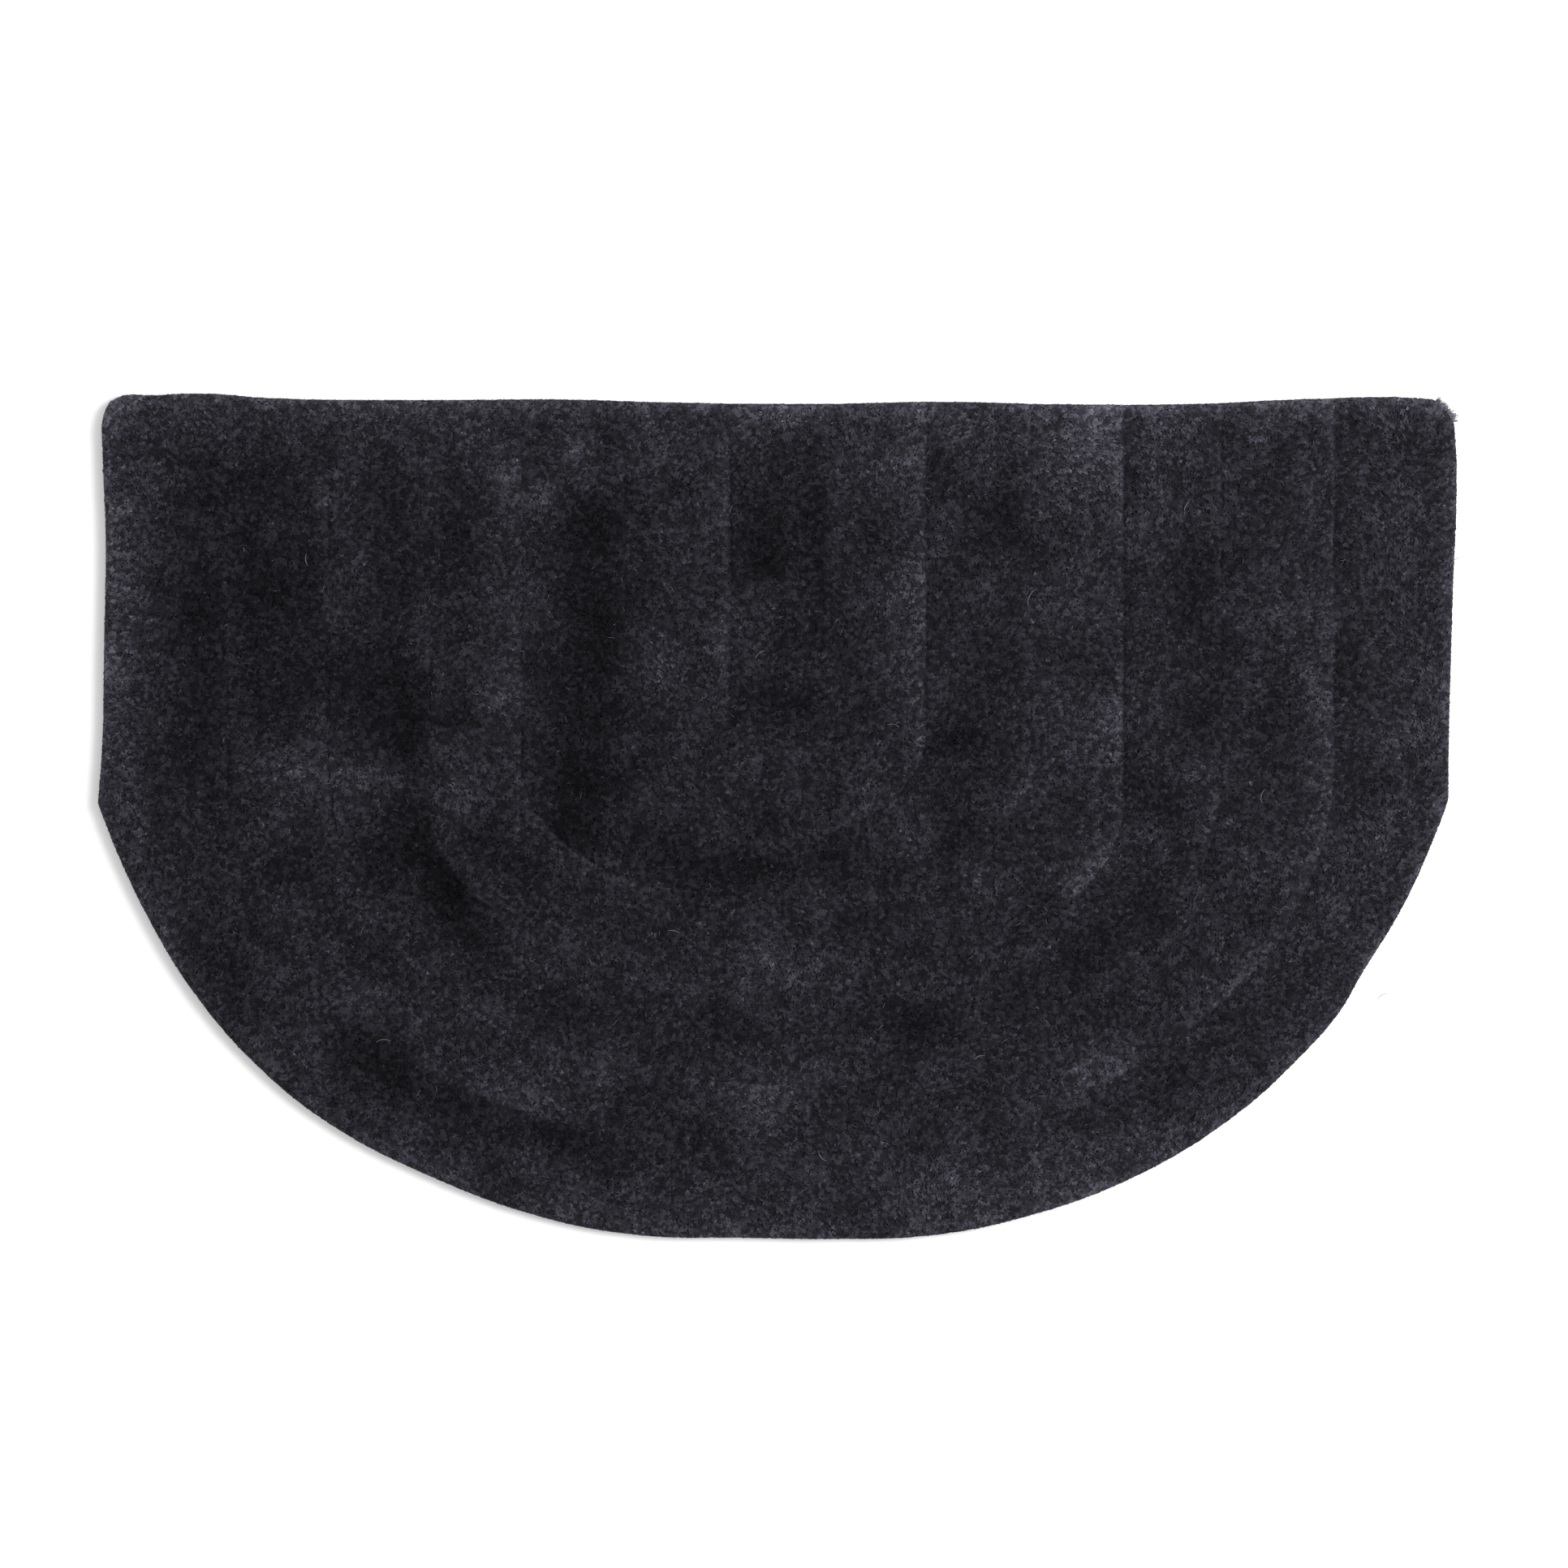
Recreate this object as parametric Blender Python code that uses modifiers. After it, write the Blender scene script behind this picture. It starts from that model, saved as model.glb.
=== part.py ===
"""Half round doormat: one flat slab of cut pile with six carved lines in it.

Units are metres, Z is up, and the mat lies on its flat underside at Z = 0. The straight edge is
at +Y, the round edge at -Y, and X runs along the straight edge.
"""

import math

import bmesh
import bpy

MM = 0.001

# Driving sizes
THICKNESS = 12.0 * MM
RIM_ROUND_TOP = 6.0 * MM
RIM_ROUND_BASE = 1.5 * MM
RIM_STEPS = 4
OUTLINE_STEPS = 4

CARVE_DEPTH = 4.5 * MM
CARVE_WIDTH = 4.4 * MM
CARVE_FLOOR = 1.0 * MM
CARVE_STEPS = 40
CARVE_RUN_OUT = 262.0 * MM
KNIFE_ABOVE = 1.0 * MM

# A little more than no slope at all, which joins the flat triangles of the two faces
FLAT_ANGLE = math.radians(0.5)
WELD = 0.01 * MM

PILE_COLOUR = (0.0195, 0.0185, 0.0235, 1.0)
PILE_ROUGHNESS = 0.95

# The edge of the mat in millimetres, clockwise from the left end of the straight edge. The
# hand-cut edge waves by a few millimetres, and it turns sharply only at its two hips.
OUTLINE_COLUMNS = ("x", "y", "turn")
OUTLINE = (
    (-390.5, 245.6, "soft"),
    (-366.0, 247.8, "soft"),
    (-336.0, 248.8, "soft"),
    (-300.0, 246.2, "soft"),
    (-210.0, 244.9, "soft"),
    (-128.0, 245.4, "soft"),
    (-70.0, 243.7, "soft"),
    (25.0, 242.7, "soft"),
    (92.0, 244.0, "soft"),
    (175.0, 242.4, "soft"),
    (255.0, 243.0, "soft"),
    (300.0, 245.2, "soft"),
    (380.0, 246.0, "soft"),
    (389.5, 243.8, "soft"),
    (396.4, 237.0, "soft"),
    (398.6, 226.0, "soft"),
    (399.7, 190.0, "soft"),
    (397.9, 143.0, "soft"),
    (396.5, 98.0, "soft"),
    (395.2, 50.0, "soft"),
    (394.9, 9.5, "sharp"),
    (386.9, -11.5, "soft"),
    (367.5, -54.0, "soft"),
    (343.0, -94.0, "soft"),
    (331.5, -114.0, "soft"),
    (311.0, -138.0, "soft"),
    (264.0, -180.0, "soft"),
    (205.0, -214.5, "soft"),
    (148.0, -235.0, "soft"),
    (92.0, -246.4, "soft"),
    (35.0, -248.7, "soft"),
    (-22.0, -247.9, "soft"),
    (-78.0, -246.8, "soft"),
    (-138.0, -236.0, "soft"),
    (-205.0, -211.5, "soft"),
    (-262.0, -182.0, "soft"),
    (-306.0, -147.0, "soft"),
    (-344.0, -103.0, "soft"),
    (-371.0, -58.5, "soft"),
    (-389.0, -20.5, "soft"),
    (-400.0, 7.8, "sharp"),
    (-397.5, 40.0, "soft"),
    (-396.4, 98.0, "soft"),
    (-395.3, 162.0, "soft"),
    (-397.2, 216.0, "soft"),
    (-396.6, 236.0, "soft"),
)

# Each carved line is a U in millimetres: two straight legs from the straight edge, then half an
# ellipse from the end of the legs down to the foot.
CARVED_COLUMNS = ("half_width", "centre_x", "leg_end_y", "foot_y")
CARVED = (
    (324.9, 1.7, 26.7, -199.3),
    (262.2, -1.4, 21.9, -156.9),
    (203.8, -0.2, 10.0, -102.5),
    (149.7, -1.0, 32.9, -52.9),
    (88.7, -1.0, 53.4, -13.8),
    (29.1, 1.4, 62.5, 33.9),
)


def clear_scene():
    for item in list(bpy.data.objects):
        bpy.data.objects.remove(item, do_unlink=True)


def new_collection(name):
    collection = bpy.data.collections.new(name)
    bpy.context.scene.collection.children.link(collection)
    return collection


def pile_material():
    material = bpy.data.materials.new("charcoal_pile")
    material.use_nodes = True
    shader = material.node_tree.nodes["Principled BSDF"]
    shader.inputs["Base Color"].default_value = PILE_COLOUR
    shader.inputs["Roughness"].default_value = PILE_ROUGHNESS
    shader.inputs["Metallic"].default_value = 0.0
    return material


def mesh_from_curve(curve_object, name, collection):
    """Replaces a curve by a mesh of the same shape, with its caps welded on."""
    bpy.context.view_layer.update()
    evaluated = curve_object.evaluated_get(bpy.context.evaluated_depsgraph_get())
    mesh = bpy.data.meshes.new_from_object(evaluated)
    welded = bmesh.new()
    welded.from_mesh(mesh)
    bmesh.ops.remove_doubles(welded, verts=welded.verts, dist=WELD)
    bmesh.ops.dissolve_limit(
        welded, angle_limit=FLAT_ANGLE, verts=welded.verts, edges=welded.edges
    )
    bmesh.ops.recalc_face_normals(welded, faces=welded.faces)
    welded.to_mesh(mesh)
    welded.free()
    result = bpy.data.objects.new(name, mesh)
    result.matrix_world = curve_object.matrix_world
    collection.objects.link(result)
    bpy.data.objects.remove(curve_object, do_unlink=True)
    return result


def outline_curve(collection):
    """The mat's edge as a smooth closed curve, filled and raised to the mat's thickness."""
    curve = bpy.data.curves.new("mat_outline", "CURVE")
    curve.dimensions = "2D"
    curve.fill_mode = "BOTH"
    curve.extrude = THICKNESS / 2
    curve.resolution_u = OUTLINE_STEPS
    spline = curve.splines.new("BEZIER")
    spline.bezier_points.add(len(OUTLINE) - 1)
    spline.use_cyclic_u = True
    for point, row in zip(spline.bezier_points, OUTLINE):
        place = dict(zip(OUTLINE_COLUMNS, row))
        handle = "VECTOR" if place["turn"] == "sharp" else "AUTO"
        point.co = (place["x"] * MM, place["y"] * MM, 0.0)
        point.handle_left_type = handle
        point.handle_right_type = handle
    result = bpy.data.objects.new("mat_outline", curve)
    result.location.z = THICKNESS / 2
    collection.objects.link(result)
    return result


def round_rim(mat):
    """Rounds the whole rim, widely at the top and a little at the underside."""
    weights = mat.data.attributes.new("bevel_weight_edge", "FLOAT", "EDGE")
    middle = THICKNESS / 2
    for edge in mat.data.edges:
        heights = [mat.matrix_world @ mat.data.vertices[v].co for v in edge.vertices]
        low, high = sorted(place.z for place in heights)
        if low > middle:
            weights.data[edge.index].value = 1.0
        elif high < middle:
            weights.data[edge.index].value = RIM_ROUND_BASE / RIM_ROUND_TOP
    bevel = mat.modifiers.new("rounded_rim", "BEVEL")
    bevel.limit_method = "WEIGHT"
    bevel.offset_type = "OFFSET"
    bevel.width = RIM_ROUND_TOP
    bevel.segments = RIM_STEPS
    bevel.use_clamp_overlap = False


def knife_section(collection):
    """The section of a carved line: a narrow floor and two sloping sides."""
    curve = bpy.data.curves.new("knife_section", "CURVE")
    curve.dimensions = "2D"
    spline = curve.splines.new("POLY")
    floor = CARVE_FLOOR / 2
    slope = (CARVE_WIDTH - CARVE_FLOOR) / 2 / CARVE_DEPTH
    top = floor + slope * (CARVE_DEPTH + KNIFE_ABOVE)
    corners = (
        (-floor, -CARVE_DEPTH),
        (floor, -CARVE_DEPTH),
        (top, KNIFE_ABOVE),
        (-top, KNIFE_ABOVE),
    )
    spline.points.add(len(corners) - 1)
    for point, (x, y) in zip(spline.points, corners):
        point.co = (x, y, 0.0, 1.0)
    spline.use_cyclic_u = True
    result = bpy.data.objects.new("knife_section", curve)
    result.hide_render = True
    collection.objects.link(result)
    return result


def carved_path(row):
    """Points along one carved line, from the left leg's top round to the right leg's top."""
    line = {name: value * MM for name, value in zip(CARVED_COLUMNS, row)}
    drop = line["leg_end_y"] - line["foot_y"]
    points = [(line["centre_x"] - line["half_width"], CARVE_RUN_OUT)]
    for step in range(CARVE_STEPS + 1):
        turn = math.pi * step / CARVE_STEPS
        x = line["centre_x"] - line["half_width"] * math.cos(turn)
        y = line["leg_end_y"] - drop * math.sin(turn)
        points.append((x, y))
    points.append((line["centre_x"] + line["half_width"], CARVE_RUN_OUT))
    return points


def carved_cutter(index, row, section, collection):
    curve = bpy.data.curves.new(f"carved_line_{index}", "CURVE")
    curve.dimensions = "2D"
    curve.bevel_mode = "OBJECT"
    curve.bevel_object = section
    curve.use_fill_caps = True
    path = carved_path(row)
    spline = curve.splines.new("POLY")
    spline.points.add(len(path) - 1)
    for point, (x, y) in zip(spline.points, path):
        point.co = (x, y, 0.0, 1.0)
    line = bpy.data.objects.new(f"carved_line_{index}", curve)
    line.location.z = THICKNESS
    collection.objects.link(line)
    cutter = mesh_from_curve(line, f"carve_{index}", collection)
    cutter.hide_render = True
    cutter.display_type = "WIRE"
    return cutter


def build():
    clear_scene()
    parts = new_collection("half_round_doormat")
    cutters = new_collection("cutters")

    mat = mesh_from_curve(outline_curve(parts), "mat", parts)
    mat.data.materials.append(pile_material())
    round_rim(mat)

    section = knife_section(cutters)
    for index, row in enumerate(CARVED, start=1):
        carve = mat.modifiers.new(f"carve_{index}", "BOOLEAN")
        carve.operation = "DIFFERENCE"
        carve.solver = "EXACT"
        carve.object = carved_cutter(index, row, section, cutters)
    bpy.data.objects.remove(section, do_unlink=True)


build()
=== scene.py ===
# %% [markdown]
# # A half round doormat of carved cut pile
#
# The real mat is one piece. Yarn is punched through a ground cloth in close stitches, the loops
# are sheared off level, and a hand carver then clips six nested lines into the pile. From above it
# is nearly black, so all that tells it from a black card is its nap: where the pile leans it shows
# its flanks and looks paler, and where it stands up we look down into it and it looks darker.
#
# That nap is built here as real strands that lean. Its paleness, and the light along the rim and the
# carved banks, are also painted into the yarn's colour. A packed slab gives the mat's size, edge and
# carved lines. Inside it goes a ground, and on the ground stand some two hundred thousand short
# strands, each as long as the slab lets it be. So nothing has to be fitted afterwards.

# %% Load the imported slab and read its sizes
import math

import bmesh
import bpy
import numpy as np
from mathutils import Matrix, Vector, noise
from mathutils.bvhtree import BVHTree
from mathutils.geometry import delaunay_2d_cdt


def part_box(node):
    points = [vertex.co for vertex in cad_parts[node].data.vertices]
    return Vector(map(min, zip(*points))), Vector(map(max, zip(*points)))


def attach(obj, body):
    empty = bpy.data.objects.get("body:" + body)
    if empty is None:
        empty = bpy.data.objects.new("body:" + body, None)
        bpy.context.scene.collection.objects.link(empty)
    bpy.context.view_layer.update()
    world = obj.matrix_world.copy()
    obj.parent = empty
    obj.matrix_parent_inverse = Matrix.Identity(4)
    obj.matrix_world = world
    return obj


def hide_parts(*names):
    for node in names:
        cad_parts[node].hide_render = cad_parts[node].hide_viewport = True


MM = 0.001

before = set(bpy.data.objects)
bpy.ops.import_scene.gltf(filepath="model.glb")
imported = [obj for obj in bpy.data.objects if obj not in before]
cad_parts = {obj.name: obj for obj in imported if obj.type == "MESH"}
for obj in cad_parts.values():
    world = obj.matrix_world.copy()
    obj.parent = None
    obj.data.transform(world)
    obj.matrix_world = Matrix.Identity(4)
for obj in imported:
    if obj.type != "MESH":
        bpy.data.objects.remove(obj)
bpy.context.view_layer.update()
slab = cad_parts["mat"]
slab_low, slab_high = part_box("mat")
mat_width = slab_high.x - slab_low.x
mat_thickness = slab_high.z
mat_depth = slab_high.y - slab_low.y
print(f"slab: {mat_width:.3f} m wide, {mat_depth:.3f} m deep, {mat_thickness:.4f} m thick")

# %% [markdown]
# ## The camera
#
# The photograph looks straight down, with the straight edge at the top. So the camera hangs over
# the mat and isn't turned at all: an unturned Blender camera looks down, with +Y at the top of the
# picture. The width of the view comes from how much of the picture the mat fills, and a long lens
# keeps the rim from showing, as it does there.

# %% Hang the camera over the mat
PHOTO_SIDE = 1932
PHOTO_MAT_LEFT, PHOTO_MAT_RIGHT = 119, 1797
PHOTO_MAT_TOP, PHOTO_MAT_BOTTOM = 483, 1529
LENS_MM = 100.0
SENSOR_MM = 36.0

pixel = mat_width / (PHOTO_MAT_RIGHT - PHOTO_MAT_LEFT)
view_width = PHOTO_SIDE * pixel
camera_height = mat_thickness + view_width * LENS_MM / SENSOR_MM
middle_x = (PHOTO_SIDE - PHOTO_MAT_LEFT - PHOTO_MAT_RIGHT) / 2 * pixel
middle_y = (PHOTO_MAT_TOP + PHOTO_MAT_BOTTOM - PHOTO_SIDE) / 2 * pixel

camera_data = bpy.data.cameras.new("overhead_camera")
camera_data.lens = LENS_MM
camera_data.sensor_width = SENSOR_MM
camera = bpy.data.objects.new("overhead_camera", camera_data)
camera.location = (middle_x, middle_y, camera_height)
bpy.context.scene.collection.objects.link(camera)
bpy.context.scene.camera = camera
print(f"camera: {camera_height:.2f} m up, one pixel of the photograph is {pixel / MM:.3f} mm")

# %% [markdown]
# ## Floor and light
#
# The photograph has a white ground with no shadow on it. A white sky lights everything evenly. In
# each carved line the bank that faces right is the pale one, so one broad lamp hangs to the right.
# The Standard view transform shows white as white and leaves the near-black pile its contrast.

# %% Lay the floor and hang the lights
FLOOR_SIZE = 12.0
FLOOR_DROP = 0.2 * MM
FLOOR_COLOUR = (0.92, 0.92, 0.92, 1.0)
SKY_STRENGTH = 0.9
LAMP_SIZE = 1.6
LAMP_PLACE = (1.7, 0.5, 2.0)
LAMP_POWER = 75.0

bpy.ops.mesh.primitive_plane_add(size=FLOOR_SIZE, location=(0.0, 0.0, -FLOOR_DROP))
floor = bpy.context.object
floor.name = "floor"
floor_material = bpy.data.materials.new("pale_floor")
floor_material.use_nodes = True
floor_shader = floor_material.node_tree.nodes["Principled BSDF"]
floor_shader.inputs["Base Color"].default_value = FLOOR_COLOUR
floor_shader.inputs["Roughness"].default_value = 1.0
floor_shader.inputs["Specular IOR Level"].default_value = 0.0
floor.data.materials.append(floor_material)

sky = bpy.data.worlds.new("studio_sky")
sky.use_nodes = True
sky.node_tree.nodes["Background"].inputs["Color"].default_value = (1.0, 1.0, 1.0, 1.0)
sky.node_tree.nodes["Background"].inputs["Strength"].default_value = SKY_STRENGTH
bpy.context.scene.world = sky

lamp_data = bpy.data.lights.new("side_lamp", "AREA")
lamp_data.shape = "DISK"
lamp_data.size = LAMP_SIZE
lamp_data.energy = LAMP_POWER
lamp = bpy.data.objects.new("side_lamp", lamp_data)
lamp.location = LAMP_PLACE
lamp.rotation_euler = (-Vector(LAMP_PLACE)).to_track_quat("-Z", "Y").to_euler()
bpy.context.scene.collection.objects.link(lamp)
bpy.context.scene.view_settings.view_transform = "Standard"
print(f"floor {FLOOR_SIZE} m wide, lamp {LAMP_SIZE} m across")

# %% [markdown]
# ## One way to add a node
#
# Materials and Geometry Nodes are both trees of nodes, so one small class serves both. `Tree.add`
# takes a node's type, its settings and what goes into its sockets. `Wire` holds an output socket
# and knows Python's sums, so that `1 - mask` adds a Math node by itself.

# %% A tree of nodes, and wires that do sums
class Wire:
    """An output socket. Sums on it add Math nodes to its tree."""

    def __init__(self, tree, socket):
        self.tree = tree
        self.socket = socket

    def maths(self, operation, *values):
        return self.tree.add("ShaderNodeMath", {"operation": operation}, *values).out()

    def __add__(self, other):
        return self.maths("ADD", self, other)

    def __radd__(self, other):
        return self.maths("ADD", other, self)

    def __sub__(self, other):
        return self.maths("SUBTRACT", self, other)

    def __rsub__(self, other):
        return self.maths("SUBTRACT", other, self)

    def __mul__(self, other):
        return self.maths("MULTIPLY", self, other)

    def __rmul__(self, other):
        return self.maths("MULTIPLY", other, self)

    def __pow__(self, other):
        return self.maths("POWER", self, other)

    def __rpow__(self, other):
        return self.maths("POWER", other, self)


class Added:
    """A node that a tree has just gained, with its outputs as wires."""

    def __init__(self, tree, node):
        self.tree = tree
        self.node = node

    def out(self, name=None):
        ready = [s for s in self.node.outputs if s.enabled]
        socket = ready[0] if name is None else next(s for s in ready if s.name == name)
        return Wire(self.tree, socket)


class Tree:
    """A node tree with one method that adds any node."""

    def __init__(self, tree):
        self.tree = tree

    def add(self, kind, settings=None, *values, **named):
        node = self.tree.nodes.new(kind)
        for name, value in (settings or {}).items():
            setattr(node, name, value)
        ready = [s for s in node.inputs if s.enabled]
        wanted = list(zip(ready, values))
        for name, value in named.items():
            wanted.append((next(s for s in ready if s.name == name.replace("_", " ")), value))
        for socket, value in wanted:
            if isinstance(value, Wire):
                self.tree.links.new(value.socket, socket)
            elif value is not None:
                socket.default_value = value
        return Added(self, node)


# %% [markdown]
# ## The edge and the carved lines
#
# The edge is hand cut and waves a little, so it is read back from the slab: the slab's widest
# ring, sorted by its direction from the middle. The six carved lines follow a rule, two straight
# legs and half an ellipse, and the table repeats the slab's own sizes.

# %% Read the edge and write down the carved lines
RING_LOW, RING_HIGH = 2.0 * MM, 7.0 * MM
EDGE_STEP = 3.0 * MM

CARVED_COLUMNS = ("half_width", "centre_x", "leg_end_y", "foot_y")
CARVED = (
    (0.3249, 0.0017, 0.0267, -0.1993),
    (0.2622, -0.0014, 0.0219, -0.1569),
    (0.2038, -0.0002, 0.0100, -0.1025),
    (0.1497, -0.0010, 0.0329, -0.0529),
    (0.0887, -0.0010, 0.0534, -0.0138),
    (0.0291, 0.0014, 0.0625, 0.0339),
)
CARVE_HALF_WIDTH = 2.2 * MM
CARVE_HALF_FLOOR = 0.5 * MM
CARVE_RUN_OUT = 0.262
CARVE_STEP = 4.0 * MM
BEND_POINTS = 90


def read_table(columns, rows):
    """Each row of a table as a dictionary, under the names of its columns."""
    return [dict(zip(columns, row)) for row in rows]


def evenly(points, step, closed):
    """The same line with its points about one step apart."""
    points = np.asarray(points, float)
    if closed:
        points = np.vstack([points, points[:1]])
    along = np.concatenate([[0.0], np.cumsum(np.linalg.norm(np.diff(points, axis=0), axis=1))])
    count = max(2, round(along[-1] / step))
    at = np.linspace(0.0, along[-1], count + 1)
    line = np.stack([np.interp(at, along, points[:, k]) for k in range(2)], axis=1)
    return line[:-1] if closed else line


def read_edge():
    places = np.array([v.co for v in slab.data.vertices])
    ring = places[(places[:, 2] > RING_LOW) & (places[:, 2] < RING_HIGH), :2]
    ring = np.unique(np.round(ring, 6), axis=0)
    ring = ring[np.argsort(np.arctan2(ring[:, 1], ring[:, 0]))]
    return evenly(ring, EDGE_STEP, closed=True)


def outward(loop):
    """Unit vectors that point out of a loop that runs anticlockwise."""
    along = np.roll(loop, -1, axis=0) - np.roll(loop, 1, axis=0)
    along /= np.linalg.norm(along, axis=1)[:, None]
    return np.stack([along[:, 1], -along[:, 0]], axis=1)


def carved_line(line, beside=0.0):
    """Points along a carved line, or along a line beside it on its outer side."""
    half = line["half_width"] + beside
    drop = line["leg_end_y"] - line["foot_y"] + beside
    turns = np.linspace(0.0, math.pi, BEND_POINTS)
    bend_x = line["centre_x"] - half * np.cos(turns)
    bend_y = line["leg_end_y"] - drop * np.sin(turns)
    left = [(line["centre_x"] - half, CARVE_RUN_OUT)]
    right = [(line["centre_x"] + half, CARVE_RUN_OUT)]
    return evenly(left + list(zip(bend_x, bend_y)) + right, CARVE_STEP, closed=False)


edge = read_edge()
edge_out = outward(edge)
carved_rows = read_table(CARVED_COLUMNS, CARVED)
carved = [carved_line(row) for row in carved_rows]
print(f"edge: {len(edge)} points; carved lines: {[len(line) for line in carved]} points")

# %% [markdown]
# ## Where a point lies
#
# Three questions come back for every part of the pile: how far is it from the nearest carved line,
# how far from the edge, and between which two carved lines does it lie? Each is answered for many
# points at once with numpy, because a Python loop over a hundred thousand points is slow.

# %% Measure distances and bands
TINY = 1e-9


def nearest_on(line, points, closed=False):
    """Each point's distance from a line, and the unit vector from it towards the line."""
    ends = np.roll(line, -1, axis=0) if closed else line[1:]
    starts = line if closed else line[:-1]
    best = np.full(len(points), np.inf)
    towards = np.zeros((len(points), 2))
    for start, end in zip(starts, ends):
        step = end - start
        share = np.clip(((points - start) @ step) / (step @ step), 0.0, 1.0)
        gap = start + share[:, None] * step - points
        far = np.linalg.norm(gap, axis=1)
        closer = far < best
        best[closer] = far[closer]
        towards[closer] = gap[closer] / np.maximum(far[closer], TINY)[:, None]
    return best, towards


def band_of(points):
    """0 in the border, and one more for each carved line that a point lies inside."""
    band = np.zeros(len(points), int)
    for line in carved_rows:
        across = (points[:, 0] - line["centre_x"]) / line["half_width"]
        below = np.maximum(line["leg_end_y"] - points[:, 1], 0.0)
        down = below / (line["leg_end_y"] - line["foot_y"])
        band += across**2 + down**2 < 1.0
    return band


# %% [markdown]
# ## The ground
#
# Under the pile lies the ground: the dense mass of yarn that one sees between the strands, with
# the underside below it. It could be the slab made smaller, but the slab's long thin triangles
# would spread the strands badly. So the top is a new triangulation of even points, with the carved
# lines as fixed edges, and the rim is a loft of rings round it.

# %% Build the ground
GROUND_HEIGHT = 10.6 * MM
GROUND_DIP = 0.8 * MM
GROUND_STEP = 6.0 * MM
LINE_CLEARANCE = 3.0 * MM
# The rim's rings, from the top down to the underside: how far each lies in from the edge, how
# high, and which way its strands point
RIM_COLUMNS = ("inset", "height", "out", "up")
RIM = (
    (4.4 * MM, 10.6 * MM, 0.30, 1.0),
    (2.6 * MM, 9.0 * MM, 0.8, 1.0),
    (1.6 * MM, 7.0 * MM, 1.0, 0.6),
    (1.2 * MM, 4.6 * MM, 1.0, 0.3),
    (1.2 * MM, 2.0 * MM, 1.0, 0.2),
    (2.0 * MM, 0.0 * MM, 1.0, 0.2),
)
rim = read_table(RIM_COLUMNS, RIM)
WELD = 1e-6
KEEP_INSIDE = 1


def even_points(loop):
    """Points of a triangular grid that lie inside a loop and clear of it and the carved lines."""
    rise = GROUND_STEP * math.sqrt(3) / 2
    rows = np.arange(loop[:, 1].min(), loop[:, 1].max(), rise)
    points = []
    for number, y in enumerate(rows):
        start = loop[:, 0].min() + (number % 2) * GROUND_STEP / 2
        points += [(x, y) for x in np.arange(start, loop[:, 0].max(), GROUND_STEP)]
    points = np.array(points)
    points = points[inside(loop, points)]
    clear = nearest_on(loop, points, closed=True)[0] > LINE_CLEARANCE
    for line in carved:
        clear &= nearest_on(line, points)[0] > LINE_CLEARANCE + CARVE_HALF_WIDTH
    return points[clear]


def inside(loop, points):
    """Whether each point lies inside a loop, by counting the edges to its right."""
    crossings = np.zeros(len(points), int)
    for (ax, ay), (bx, by) in zip(loop, np.roll(loop, -1, axis=0)):
        spans = (ay > points[:, 1]) != (by > points[:, 1])
        if ay != by:
            x = ax + (points[:, 1] - ay) / (by - ay) * (bx - ax)
            crossings += spans & (x > points[:, 0])
    return crossings % 2 == 1


def triangulate(loop):
    """The ground's top as flat triangles that keep to the loop and the carved lines."""
    points = [Vector(p) for p in loop]
    edges = [(i, (i + 1) % len(loop)) for i in range(len(loop))]
    for row in carved_rows:
        for beside in (-CARVE_HALF_WIDTH, 0.0, CARVE_HALF_WIDTH):
            line = carved_line(row, beside)
            line = line[inside(loop, line)]
            first = len(points)
            points += [Vector(p) for p in line]
            edges += [(first + i, first + i + 1) for i in range(len(line) - 1)]
    points += [Vector(p) for p in even_points(loop)]
    found = delaunay_2d_cdt(points, edges, [list(range(len(loop)))], KEEP_INSIDE, WELD)
    return np.array([tuple(v) for v in found[0]]), found[2]


def build_ground():
    """The ground as one closed mesh. Its first vertices are the top's, then a ring at a time."""
    rings = [edge - edge_out * level["inset"] for level in rim]
    top, faces = triangulate(rings[0])
    far = np.min([nearest_on(line, top)[0] for line in carved], axis=0)
    slope = (far - CARVE_HALF_FLOOR) / (CARVE_HALF_WIDTH - CARVE_HALF_FLOOR)
    height = GROUND_HEIGHT - GROUND_DIP * np.clip(1.0 - slope, 0.0, 1.0)
    mesh = bmesh.new()
    top_verts = [mesh.verts.new((x, y, z)) for (x, y), z in zip(top, height)]
    for face in faces:
        mesh.faces.new([top_verts[i] for i in face])
    mesh.verts.index_update()
    ring = [top_verts[int(np.argmin(((top - p) ** 2).sum(1)))] for p in rings[0]]
    for level, places in zip(rim[1:], rings[1:]):
        lower = [mesh.verts.new((x, y, level["height"])) for x, y in places]
        for i in range(len(ring)):
            j = (i + 1) % len(ring)
            mesh.faces.new((ring[i], lower[i], lower[j], ring[j]))
        ring = lower
    underside = mesh.faces.new(list(reversed(ring)))
    underside.material_index = 1
    bmesh.ops.recalc_face_normals(mesh, faces=mesh.faces)
    data = bpy.data.meshes.new("mat_ground")
    mesh.to_mesh(data)
    mesh.free()
    ground = bpy.data.objects.new("mat_ground", data)
    bpy.context.scene.collection.objects.link(ground)
    return ground, len(top)


ground, top_count = build_ground()
ground.data.shade_smooth()
print(f"ground: {len(ground.data.polygons)} faces, {top_count} vertices on top")
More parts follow.
